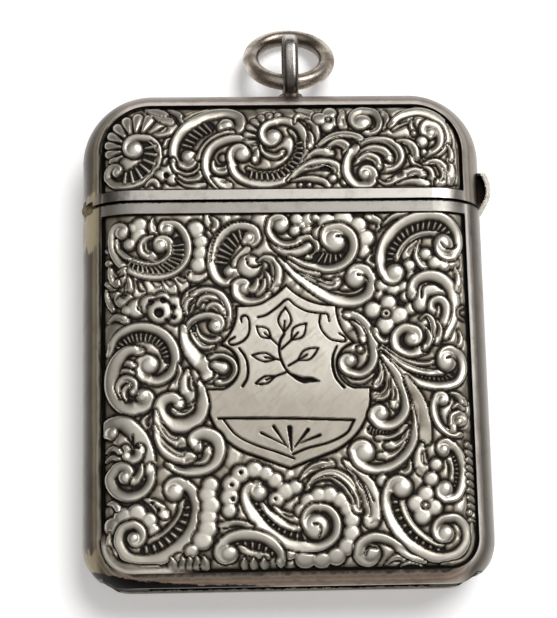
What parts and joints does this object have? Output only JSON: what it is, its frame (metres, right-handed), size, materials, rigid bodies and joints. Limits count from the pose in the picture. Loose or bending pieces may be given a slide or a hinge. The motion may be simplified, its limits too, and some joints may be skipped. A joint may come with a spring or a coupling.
{
  "type": "vesta case",
  "caption": "Pocket match case in chased silver: flat box with full-round sides, side-hinged sprung lid with thumbpiece, sunk striker in the base, chain ring on a loop.",
  "frame": {"origin": "middle of the back face that the case lies on, half way between the flat base and the top of the lid", "axes": "+X towards the thumbpiece, +Y along the case towards the chain ring, +Z out of the ornamented front"},
  "size_m": [0.042, 0.0605, 0.011],
  "materials": {
    "silver": "worn polished silver, dark in the hollows",
    "worn_silver": "tarnished silver, satin",
    "gilt": "satin gilding",
    "steel": "blued spring steel",
    "striker": "blackened, matt, ridged"
  },
  "bodies": {
    "body": {"body_front": "silver", "body_back": "silver", "shield_front": "silver", "shield_back": "silver", "striker": "striker", "mouth_collar": "gilt", "body_knuckle_front": "silver", "body_knuckle_back": "silver", "hinge_pin": "steel", "hinge_spring": "steel", "spring_seat": "silver", "spring_rivets": "steel"},
    "lid": {"lid_front": "silver", "lid_back": "silver", "lid_knuckle": "silver", "thumbpiece": "silver", "loop_foot": "silver", "chain_loop": "silver"},
    "ring": {"chain_ring": "worn_silver"}
  },
  "joints": [
    {"name": "lid_hinge", "type": "hinge", "parent": "body", "child": "lid", "pos_m": [-0.01965, 0.0129, 0.0055], "axis": [0, 0, 1], "range_deg": [0, 95]},
    {"name": "ring_swing", "type": "hinge", "parent": "lid", "child": "ring", "pos_m": [0.0012, 0.02741, 0.00541], "axis": [1, 0, 0], "range_deg": [0, 150]}
  ]
}
